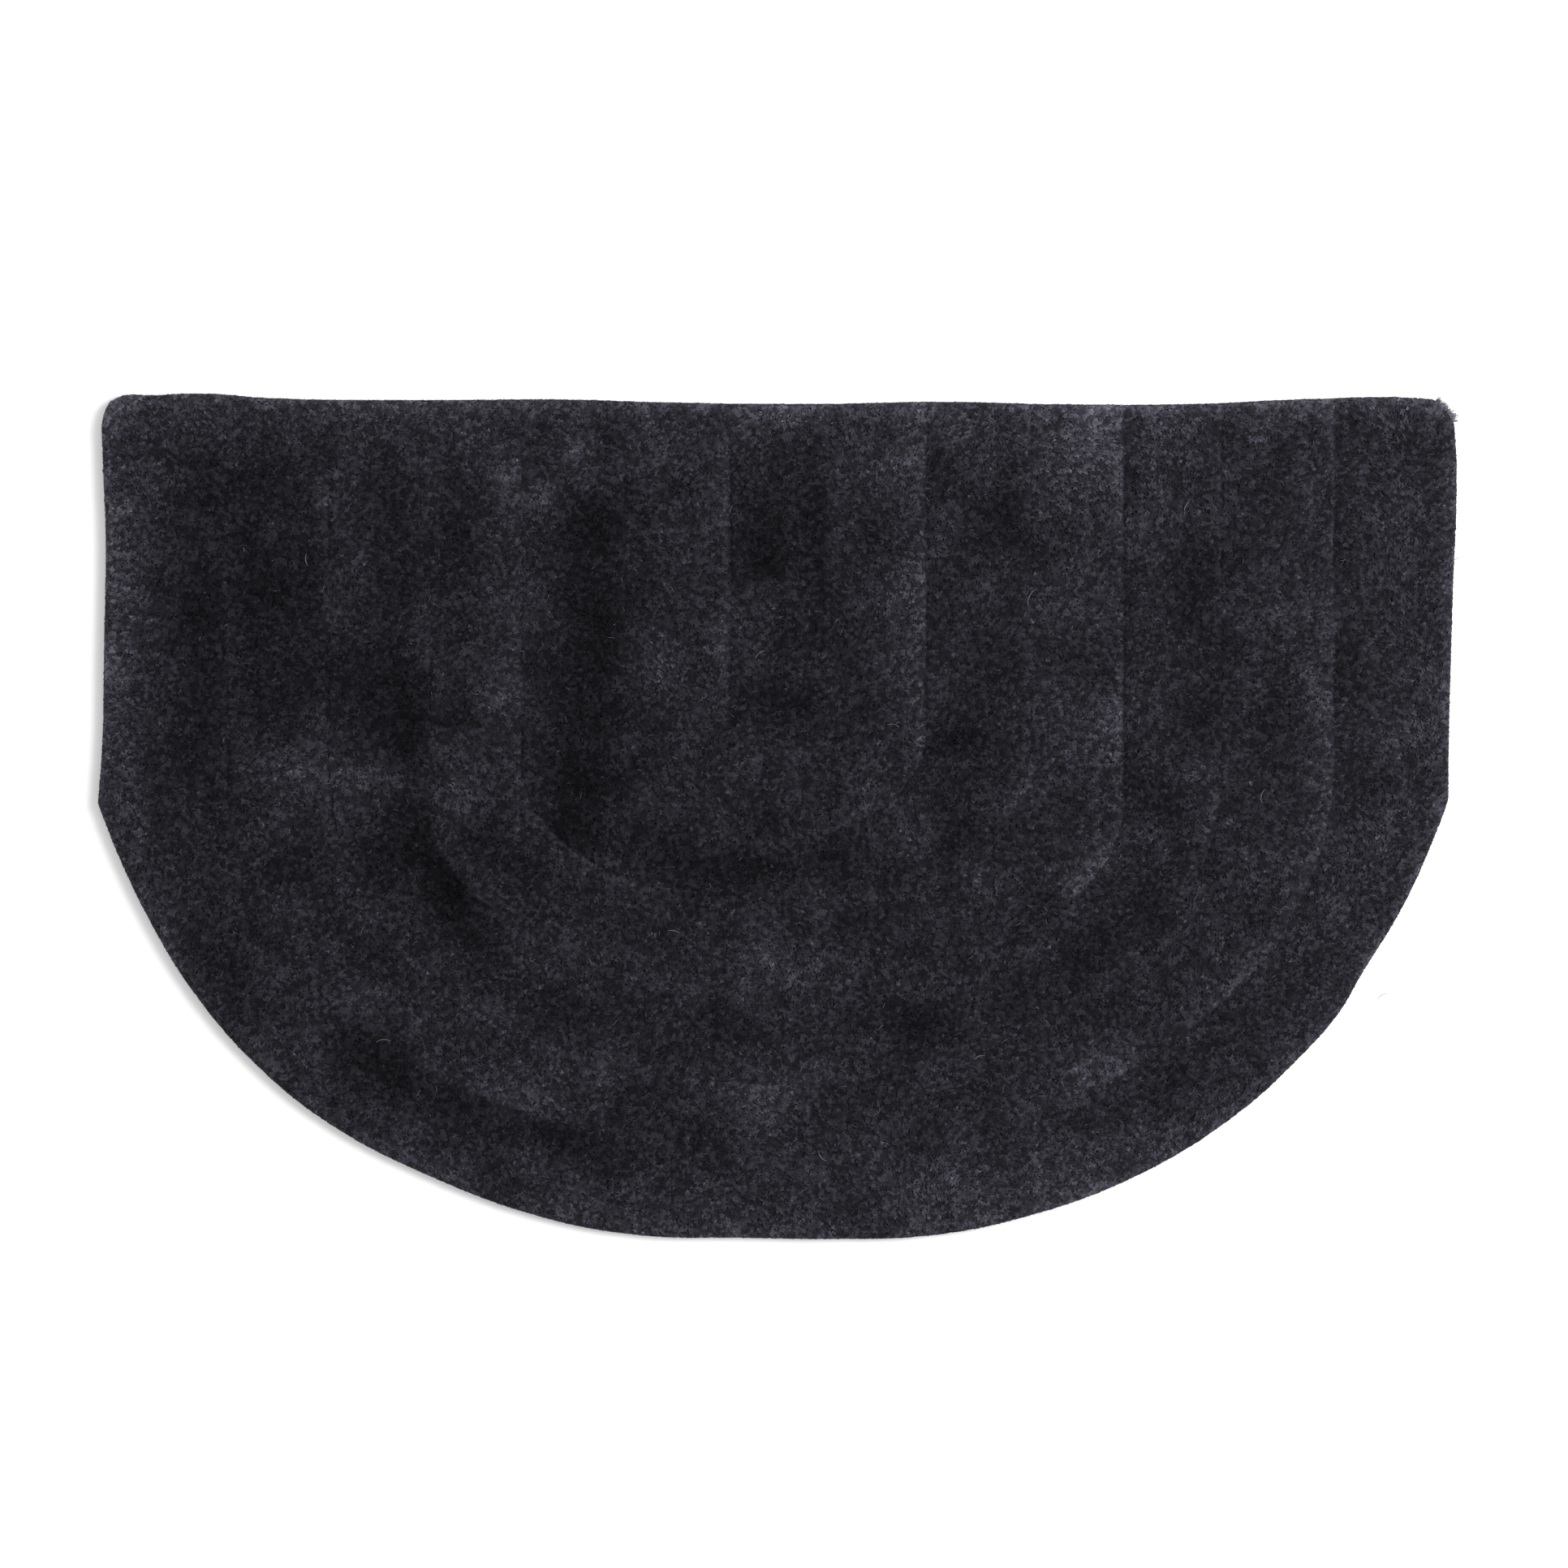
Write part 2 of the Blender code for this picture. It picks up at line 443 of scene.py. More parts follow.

# %% [markdown]
# ## The nap, leaned and painted as light and shade
#
# Feet, a vacuum cleaner and rolling the mat up push the pile over in patches. Each mark in the
# table is one such patch, in millimetres: where it is, how wide and deep, how far it is turned,
# and how pale it looks, from -1, standing up, to 1, lying over. That number leans the strands and
# is also painted into the yarn's colour as light and shade. A mark keeps to one band, because
# a carved line parts the pile, so the nap steps from one side of the line to the other.

# %% Write down the brushed patches, leaned and painted as light and shade
NAP_COLUMNS = ("x", "y", "wide", "deep", "turn", "band", "lift")
PATCHES_LEANED_AND_PAINTED = (
    # The border outside the first carved line
    (-388, 130, 24, 170, 0, 0, 0.75),
    (-337, 90, 24, 120, 0, 0, -0.85),
    (-335, 235, 50, 14, 0, 0, 0.30),
    (-318, -85, 20, 45, -28, 0, -0.45),
    (-290, -128, 28, 16, -38, 0, 0.15),
    (-242, -140, 24, 14, -38, 0, -0.65),
    (-200, -164, 58, 14, -27, 0, -0.85),
    (-130, -188, 30, 10, -15, 0, -0.80),
    (-100, -208, 12, 12, 0, 0, -0.40),
    (-30, -220, 120, 18, 0, 0, 0.25),
    (105, -217, 40, 20, 8, 0, 0.70),
    (165, -208, 40, 18, 18, 0, 0.75),
    (215, -188, 40, 16, 26, 0, 0.55),
    (232, -160, 16, 10, 30, 0, -0.60),
    (275, -132, 40, 22, 40, 0, -0.10),
    (335, -40, 24, 60, -28, 0, 0.25),
    (365, 110, 34, 160, 0, 0, 0.12),
    (330, 190, 10, 90, 0, 0, -0.25),
    (328, 90, 10, 40, 0, 0, -0.30),
    (378, 150, 16, 30, 0, 0, 0.20),
    # Between the first line and the second
    (-295, 230, 40, 16, 0, 1, 0.30),
    (-312, 175, 18, 30, 0, 1, -0.55),
    (-285, 190, 22, 24, 0, 1, -0.30),
    (-298, 128, 26, 26, 0, 1, -1.10),
    (-272, 128, 12, 40, 0, 1, -0.50),
    (-300, 74, 30, 22, 0, 1, -0.70),
    (-278, 28, 34, 16, 0, 1, 0.80),
    (-326, 24, 7, 26, 0, 1, -1.20),
    (-292, -5, 14, 12, 0, 1, 0.20),
    (-290, -32, 30, 14, 0, 1, -0.50),
    (-305, -82, 14, 18, -30, 1, -0.60),
    (-278, -88, 18, 22, -30, 1, 0.30),
    (-245, -62, 14, 10, -30, 1, 0.15),
    (-240, -110, 20, 10, -30, 1, 0.65),
    (-224, -128, 16, 10, -40, 1, -0.75),
    (-160, -158, 42, 18, -26, 1, 0.65),
    (-190, -125, 30, 14, -36, 1, 0.20),
    (-94, -165, 10, 8, 0, 1, -0.70),
    (-60, -158, 40, 16, 0, 1, 0.10),
    (-12, -172, 22, 20, 0, 1, 1.00),
    (38, -158, 26, 18, 0, 1, -0.45),
    (105, -160, 40, 14, 0, 1, 0.10),
    (166, -170, 22, 12, 30, 1, 0.55),
    (192, -146, 13, 15, -25, 1, 1.40),
    (235, -132, 30, 16, 40, 1, -0.10),
    (275, -98, 26, 9, 52, 1, 0.55),
    (306, -20, 14, 40, -8, 1, 0.35),
    (290, 128, 16, 20, 0, 1, 0.50),
    (312, 190, 10, 50, 0, 1, 0.45),
    (318, 60, 9, 60, 0, 1, 0.75),
    (272, 235, 40, 16, 0, 1, 0.25),
    (272, 148, 12, 20, 0, 1, -0.35),
    (264, 100, 10, 22, 0, 1, -0.60),
    (288, 60, 20, 20, 0, 1, -0.25),
    (296, 20, 22, 26, 0, 1, -0.25),
    # Between the second and the third
    (-238, 230, 30, 18, 0, 2, 0.20),
    (-232, 188, 26, 18, 0, 2, -0.35),
    (-256, 140, 14, 34, 0, 2, 0.10),
    (-222, 130, 16, 30, 0, 2, -0.70),
    (-238, 72, 30, 30, 0, 2, -0.90),
    (-214, 50, 12, 34, 0, 2, -1.10),
    (-236, 22, 26, 9, 0, 2, 0.75),
    (-206, -22, 16, 30, 20, 2, -1.60),
    (-240, -22, 18, 20, 0, 2, -0.60),
    (-186, -46, 18, 16, -35, 2, -1.40),
    (-178, -74, 22, 12, -40, 2, -0.80),
    (-214, -96, 12, 10, 0, 2, -0.40),
    (-232, -64, 10, 12, -40, 2, 0.30),
    (-152, -76, 26, 8, -38, 2, 0.55),
    (-128, -112, 20, 12, -30, 2, -0.65),
    (-160, -108, 20, 10, -30, 2, 0.05),
    (-86, -112, 12, 10, 0, 2, -0.50),
    (-50, -104, 12, 7, 0, 2, 0.60),
    (-24, -128, 24, 8, 0, 2, -0.50),
    (10, -124, 24, 14, 0, 2, 0.25),
    (78, -122, 24, 14, 0, 2, -1.10),
    (135, -105, 26, 12, 20, 2, -0.50),
    (165, -122, 22, 10, 25, 2, 0.15),
    (185, -78, 30, 14, 45, 2, -0.70),
    (225, -58, 16, 26, -20, 2, -0.60),
    (222, 8, 18, 18, 0, 2, -0.60),
    (252, 30, 8, 8, 0, 2, 0.60),
    (216, 228, 30, 22, 0, 2, 0.55),
    (222, 172, 9, 40, 0, 2, 0.50),
    (245, 132, 16, 26, 0, 2, -0.80),
    (248, 78, 14, 24, 0, 2, -0.70),
    (222, 90, 9, 16, 0, 2, 0.15),
    # Between the third and the fourth
    (-176, 222, 26, 24, 0, 3, 0.50),
    (-160, 202, 9, 9, 0, 3, 1.10),
    (-188, 162, 16, 30, 0, 3, -0.45),
    (-165, 130, 14, 50, 0, 3, 0.35),
    (-188, 100, 12, 30, 0, 3, -0.30),
    (-192, 56, 16, 7, 0, 3, -0.90),
    (-162, 60, 14, 34, 0, 3, 0.35),
    (-188, 14, 18, 12, 0, 3, 0.45),
    (-166, -16, 24, 16, -30, 3, -0.60),
    (-142, -38, 24, 12, -38, 3, -0.55),
    (-98, -62, 22, 10, -24, 3, -0.45),
    (-66, -56, 20, 8, 0, 3, 0.15),
    (-4, -86, 28, 14, 0, 3, 0.75),
    (46, -66, 22, 14, 0, 3, -0.60),
    (110, -72, 30, 14, 22, 3, -0.25),
    (148, -76, 16, 10, 35, 3, -0.80),
    (168, -58, 12, 10, 30, 3, -0.80),
    (176, -33, 16, 12, 35, 3, 1.10),
    (190, 2, 16, 26, 0, 3, 0.25),
    (178, 50, 26, 24, 0, 3, 0.80),
    (197, 60, 9, 12, 0, 3, 0.90),
    (170, 92, 20, 16, 0, 3, -0.10),
    (178, 128, 22, 18, 0, 3, 0.45),
    (168, 160, 14, 14, 0, 3, -0.15),
    (182, 215, 30, 34, 0, 3, 1.25),
    # Between the fourth and the fifth
    (-138, 224, 16, 20, 0, 4, -0.15),
    (-118, 214, 9, 12, 0, 4, 1.30),
    (-137, 187, 8, 8, 0, 4, 1.50),
    (-96, 200, 18, 12, 0, 4, 0.50),
    (-108, 166, 18, 22, 0, 4, -1.40),
    (-108, 110, 24, 46, 0, 4, -1.30),
    (-142, 84, 10, 34, 0, 4, -0.25),
    (-104, 56, 26, 16, 0, 4, -0.95),
    (-118, 22, 24, 18, 0, 4, -1.50),
    (-118, -6, 22, 14, -40, 4, -1.20),
    (-62, -24, 34, 12, -22, 4, -0.90),
    (-14, -30, 28, 12, 0, 4, -1.10),
    (38, -24, 24, 12, 10, 4, -0.70),
    (70, -34, 20, 10, 20, 4, -0.50),
    (110, -6, 16, 24, 30, 4, -0.80),
    (139, 2, 8, 16, 0, 4, 0.20),
    (106, 46, 18, 10, 0, 4, -0.95),
    (118, 20, 16, 14, 0, 4, -0.55),
    (132, 92, 14, 26, 0, 4, -0.50),
    (106, 128, 12, 40, 0, 4, -0.25),
    (132, 170, 15, 26, 0, 4, -0.95),
    (108, 226, 18, 14, 0, 4, 0.45),
    # Between the fifth and the sixth
    (-60, 218, 28, 20, 0, 5, 0.60),
    (-82, 140, 10, 56, 0, 5, -0.60),
    (-50, 150, 18, 44, 0, 5, 0.20),
    (-62, 92, 14, 14, 0, 5, 0.40),
    (-78, 44, 14, 26, 0, 5, -0.40),
    (-44, 22, 24, 14, -30, 5, -0.35),
    (0, -2, 20, 10, 0, 5, -0.70),
    (46, 18, 22, 14, 20, 5, 0.20),
    (42, 92, 12, 34, 0, 5, -0.50),
    (58, 170, 16, 12, 0, 5, -0.55),
    (42, 214, 14, 18, 0, 5, 0.25),
    (78, 214, 14, 26, 0, 5, 0.90),
    (76, 128, 16, 50, 0, 5, 0.55),
    (80, 70, 10, 24, 0, 5, 0.55),
    # Inside the sixth
    (2, 232, 32, 10, 0, 6, 0.70),
    (4, 180, 32, 24, 0, 6, -1.05),
    (-8, 148, 18, 12, 0, 6, -1.10),
    (24, 130, 8, 40, 0, 6, -1.00),
    (6, 108, 8, 16, 0, 6, -0.90),
    (2, 66, 28, 18, 0, 6, -0.95),
    (-18, 44, 14, 10, 0, 6, 0.10),
)
# Painted light along the straight top edge: how much paler it is painted, and how far in it fades
TOP_EDGE_PAINTED_LIGHT = 0.35
TOP_EDGE_PAINTED_LIGHT_DEPTH = 0.020
# Painted light along the rim all round: how much paler the edge is painted, and how far in it fades
RIM_PAINTED_LIGHT = 1.0
RIM_PAINTED_LIGHT_DEPTH = 0.007
BANK_WIDTH = 0.0040
# Painted light on the bank of each carved line's two legs that faces the lamp, the outermost line
# first
BANK_COLUMNS = ("left_leg", "right_leg")
BANK_PAINTED_LIGHT_AND_SHADE = ((0.05, 0.35), (0.20, 0.15), (0.15, 0.50), (0.15, 0.15), (0.10, 0.30), (0.35, 0.05))
# The bank that faces away from the light is painted darker, only this much as strongly
FAR_BANK_PAINTED_SHADE = 0.5
# The cloud is clumps of pile that lean together: it leans the strands and is painted into the colour
# as light and shade
CLOUD_SIZE = (0.022, 0.034)
CLOUD_SHARE = 0.55
# How rough the cloud is, how much finer each layer is, and how many layers it has
CLOUD_LAYERS = (0.7, 2.2, 4)


def nap_with_painted_light_at(points, bands):
    """How far the pile lies over at each point, from about -1 to 1, also painted as light and shade,
    plus painted light and shade along the edges and the carved lines' banks.
    """
    lift = np.zeros(len(points))
    for mark in read_table(NAP_COLUMNS, PATCHES_LEANED_AND_PAINTED):
        turn = math.radians(mark["turn"])
        dx, dy = points[:, 0] - mark["x"] * MM, points[:, 1] - mark["y"] * MM
        along = (dx * math.cos(turn) + dy * math.sin(turn)) / (mark["wide"] * MM)
        across = (dy * math.cos(turn) - dx * math.sin(turn)) / (mark["deep"] * MM)
        lift += mark["lift"] * np.exp(-(along**2 + across**2)) * (bands == mark["band"])
    lift += TOP_EDGE_PAINTED_LIGHT * np.exp(-(((edge[:, 1].max() - points[:, 1]) / TOP_EDGE_PAINTED_LIGHT_DEPTH) ** 2))
    for line, bank in zip(carved, read_table(BANK_COLUMNS, BANK_PAINTED_LIGHT_AND_SHADE)):
        far, towards = nearest_on(line, points)
        strength = np.where(points[:, 0] < 0.0, bank["left_leg"], bank["right_leg"])
        side = np.where(towards[:, 0] > 0.0, towards[:, 0], FAR_BANK_PAINTED_SHADE * towards[:, 0])
        lift += strength * side * np.exp(-((far / BANK_WIDTH) ** 2))
    far = nearest_on(edge, points, closed=True)[0]
    lift += RIM_PAINTED_LIGHT * np.exp(-far / RIM_PAINTED_LIGHT_DEPTH)
    wide, deep = CLOUD_SIZE
    places = [Vector((x / wide, y / deep, 0.0)) for x, y in points]
    cloud = [noise.fractal(place, *CLOUD_LAYERS) for place in places]
    return lift + CLOUD_SHARE * np.array(cloud)


# %% [markdown]
# ## What every strand is told
#
# Geometry Nodes can read named attributes of the surface that it plants on, so the ground's
# vertices carry the plan: `aim`, the way a strand points, `reach`, how long it is, and the nap,
# how far the pile lies over, which also sets the light and shade painted into its colour. The
# reach comes from a ray: it starts at the ground, follows the aim and stops where it leaves the
# slab. So the pile ends level at the top and rounds the rim. Along a carved line the strands get
# a little more, because there the pile closes over the cut: what shows is a shallow dip and
# a step in shade, partly painted into the colour, not an open groove.

# %% Give the ground its aim, reach and nap, whose paleness is painted light
LEAN_UPRIGHT, LEAN_OVER = 0.05, 0.55
SWIRL_SIZE = 0.12
LINE_REACH = 3.5 * MM
EDGE_REACH = 9.0 * MM
EDGE_LEAN = 0.35
RIM_LENGTH_MOST = 4.5 * MM
# The pile closes over each cut, more in some places than in others
CLOSING = (0.6 * MM, 1.8 * MM)
CLOSING_WIDTH = 1.3 * MM
CLOSING_PATCH = 0.045
# The heights at which the swirl and the closing cut through the noise, and the noise's swing
SWIRL_SLICE, CLOSING_SLICE = 0.7, 0.9
NOISE_SWING = (-0.45, 0.45)
RAY_START = 0.01 * MM


def plan_pile():
    """Writes the plan onto the ground's vertices."""
    data = ground.data
    places = np.zeros(len(data.vertices) * 3)
    data.vertices.foreach_get("co", places)
    places = places.reshape(-1, 3)
    flat = places[:, :2]
    nap_and_painted_light = nap_with_painted_light_at(flat, band_of(flat))
    lying = LEAN_UPRIGHT + (LEAN_OVER - LEAN_UPRIGHT) * np.clip(nap_and_painted_light * 0.5 + 0.5, 0.0, 1.0)
    turns = [math.tau * noise.noise(Vector((x, y, SWIRL_SLICE)) / SWIRL_SIZE) for x, y in flat]
    lean = lying[:, None] * np.stack([np.cos(turns), np.sin(turns)], axis=1)
    for line in carved:
        far = nearest_on(line, flat)[0]
        lean *= np.clip(far / LINE_REACH, 0.0, 1.0)[:, None]
    far, towards = nearest_on(edge, flat, closed=True)
    pull = np.clip(1.0 - far / EDGE_REACH, 0.0, 1.0)[:, None]
    lean = lean * (1.0 - pull) + EDGE_LEAN * towards * pull
    aim = np.column_stack([lean, np.ones(len(flat))])
    for number, level in enumerate(rim[1:]):
        first = top_count + number * len(edge)
        aim[first : first + len(edge), :2] = edge_out * level["out"]
        aim[first : first + len(edge), 2] = level["up"]
    aim /= np.linalg.norm(aim, axis=1)[:, None]
    skin = BVHTree.FromPolygons(
        [v.co for v in slab.data.vertices], [tuple(p.vertices) for p in slab.data.polygons]
    )
    reach = np.zeros(len(places))
    for i, (place, way) in enumerate(zip(places, aim)):
        hit = skin.ray_cast(Vector(place) + Vector(way) * RAY_START, Vector(way))
        reach[i] = hit[3] if hit[0] is not None else 0.0
    reach[top_count:] = np.minimum(reach[top_count:], RIM_LENGTH_MOST)
    patch = [noise.noise(Vector((x, y, CLOSING_SLICE)) / CLOSING_PATCH) for x, y in flat]
    closing = np.interp(patch, NOISE_SWING, CLOSING)
    closing[top_count:] = 0.0
    for line in carved:
        reach += closing * np.exp(-((nearest_on(line, flat)[0] / CLOSING_WIDTH) ** 2))
    for name, kind, values in (
        ("aim", "FLOAT_VECTOR", aim),
        ("reach", "FLOAT", reach),
        ("nap_and_painted_light", "FLOAT", nap_and_painted_light),
    ):
        made = data.attributes.new(name, kind, "POINT")
        made.data.foreach_set("vector" if kind == "FLOAT_VECTOR" else "value", values.ravel())
    return reach, nap_and_painted_light


reach, nap_and_painted_light = plan_pile()
print(f"reach: {reach.min() / MM:.1f} to {reach.max() / MM:.1f} mm")
print(f"nap: {nap_and_painted_light.min():.2f} to {nap_and_painted_light.max():.2f}")

# %% [markdown]
# ## What the yarn looks like
#
# The yarn is charcoal with a slight blue cast, and no two strands are dyed quite alike. Deep in
# the pile a strand is painted darker, as shade, and its cut end paler. All of it reads attributes
# that the strands carry, so it stays put in every view. The nap's painted light and shade make the
# yarn a little over twice as pale at a nap of 1, which is a power and not a sum, because the eye
# judges a shade by its ratio to its neighbour.
# The underside isn't in the photograph; latex spread over a scrim is the usual finish.

# %% Mix the pile's colours
# The root's colour is painted shade: deep in the pile a strand is painted darker than at its cut end
PILE_ROOT_PAINTED_SHADE = (0.0114, 0.0107, 0.0137, 1.0)
PILE_TIP = (0.0140, 0.0132, 0.0169, 1.0)
# How much paler the nap's painted light makes the yarn at a nap of 1
NAP_PAINTED_LIGHT = 2.3
PILE_ROUGHNESS = 0.95
PILE_SPECULAR = 0.05
SPECK_SCALE, SPECK_DETAIL, SPECK_BUMP = 700.0, 3.0, 1.0 * MM
BACKING_DARK = (0.030, 0.029, 0.030, 1.0)
BACKING_PALE = (0.055, 0.053, 0.053, 1.0)
BACKING_ROUGHNESS = 0.75
BLOTCH_SCALE, BLOTCH_DETAIL = 60.0, 6.0
# Blender's wave texture repeats every tau / 20 of its scaled coordinate, so the mesh is 2.5 mm
SCRIM_SCALE = math.tau / 20 / (2.5 * MM)
SCRIM_WOBBLE, SCRIM_BUMP, SCRIM_STRENGTH = 0.4, 0.4 * MM, 0.6


def mixed(tree, share, low, high):
    return tree.add("ShaderNodeMix", {"data_type": "RGBA"}, share, low, high).out("Result")


def times(tree, colour, factor):
    return tree.add("ShaderNodeVectorMath", {"operation": "SCALE"}, colour, Scale=factor).out()


def reading(tree, name):
    return tree.add("ShaderNodeAttribute", {"attribute_name": name}).out("Fac")


def new_material(name, roughness, specular):
    material = bpy.data.materials.new(name)
    material.use_nodes = True
    shader = material.node_tree.nodes["Principled BSDF"]
    shader.inputs["Roughness"].default_value = roughness
    shader.inputs["Specular IOR Level"].default_value = specular
    return material, Tree(material.node_tree), shader


def pile_material():
    material, tree, shader = new_material("charcoal_pile", PILE_ROUGHNESS, PILE_SPECULAR)
    # Painted shade: each strand darkens from its tip down to its root
    body = mixed(tree, reading(tree, "tip"), PILE_ROOT_PAINTED_SHADE, PILE_TIP)
    # Painted light and shade: the nap makes lying pile paler and upright pile darker
    painted_nap_light = NAP_PAINTED_LIGHT ** reading(tree, "nap_and_painted_light")
    shade = times(tree, body, painted_nap_light * reading(tree, "yarn"))
    tree.tree.links.new(shade.socket, shader.inputs["Base Color"])
    return material


def ground_material():
    material, tree, shader = new_material("pile_ground", PILE_ROUGHNESS, PILE_SPECULAR)
    place = tree.add("ShaderNodeTexCoord").out("Object")
    speck = tree.add(
        "ShaderNodeTexNoise", None, place, Scale=SPECK_SCALE, Detail=SPECK_DETAIL
    ).out("Fac")
    # The ground lies deep in the pile, so its specks run from the root's painted shade to the tip's
    # colour
    body = mixed(tree, speck, PILE_ROOT_PAINTED_SHADE, PILE_TIP)
    # The nap's painted light and shade, as on the strands
    shade = times(tree, body, NAP_PAINTED_LIGHT ** reading(tree, "nap_and_painted_light"))
    tree.tree.links.new(shade.socket, shader.inputs["Base Color"])
    bump = tree.add("ShaderNodeBump", None, Distance=SPECK_BUMP, Strength=1.0, Height=speck).out()
    tree.tree.links.new(bump.socket, shader.inputs["Normal"])
    return material


def backing_material():
    """The underside: latex over a scrim, seen as a fine square mesh of raised threads."""
    material, tree, shader = new_material("latex_backing", BACKING_ROUGHNESS, PILE_SPECULAR)
    place = tree.add("ShaderNodeTexCoord").out("Object")
    blotch = tree.add(
        "ShaderNodeTexNoise", None, place, Scale=BLOTCH_SCALE, Detail=BLOTCH_DETAIL
    ).out("Fac")
    colour = mixed(tree, blotch, BACKING_DARK, BACKING_PALE)
    tree.tree.links.new(colour.socket, shader.inputs["Base Color"])
    threads = [
        tree.add(
            "ShaderNodeTexWave",
            {"bands_direction": way},
            place,
            Scale=SCRIM_SCALE,
            Distortion=SCRIM_WOBBLE,
        ).out("Fac")
        for way in ("X", "Y")
    ]
    mesh_height = threads[0].maths("MAXIMUM", threads[0], threads[1])
    bump = tree.add(
        "ShaderNodeBump", None, Distance=SCRIM_BUMP, Strength=SCRIM_STRENGTH, Height=mesh_height
    ).out()
    tree.tree.links.new(bump.socket, shader.inputs["Normal"])
    return material


pile = pile_material()
ground.data.materials.append(ground_material())
ground.data.materials.append(backing_material())
print("materials:", [m.name for m in bpy.data.materials if m.users])

# %% [markdown]
# ## Planting the pile
#
# A stitch of yarn is cut into a tuft, and the tuft's end opens into strands. The tree below plants
# the strands first, evenly and never closer than a spacing, and then asks a Voronoi texture which
# tuft each belongs to. From that come the tuft's own tint and height, and the way from its middle,
# along which its strands splay. A strand is a closed wedge of four triangles, a point at the root
# and a flat cut end. With so many strands each may have only a few faces.

# %% Grow the tree that plants
STRAND_SPACING = 0.935 * MM
STRAND_WIDTH = 3.0 * MM
TUFT_SIZE = 2.0 * MM
TUFT_SPLAY = 0.35
STRAY = 0.15
FLECK_SHARE = 0.03
FLECK_PALENESS = 1.8
# The palest tufts are few, so a tuft's lot is squared before it is weighed
DYE_LEAST, DYE_OF_TUFT, DYE_OF_STRAND = 0.46, 1.5, 0.22
LENGTH_LEAST, LENGTH_OF_TUFT, LENGTH_OF_STRAND = 0.80, 0.25, 0.05
THICK_LEAST, THICK_MOST = 0.75, 1.15
TUFT_DISORDER = 0.8
DENSEST = 4.0 / STRAND_SPACING**2
# Each random draw adds its own number to the seed, so that no two draws are alike
STRAY_DRAW, FLECK_DRAW, DYE_DRAW, SPIN_DRAW, THICK_DRAW, LENGTH_DRAW = 23, 31, 37, 41, 43, 47


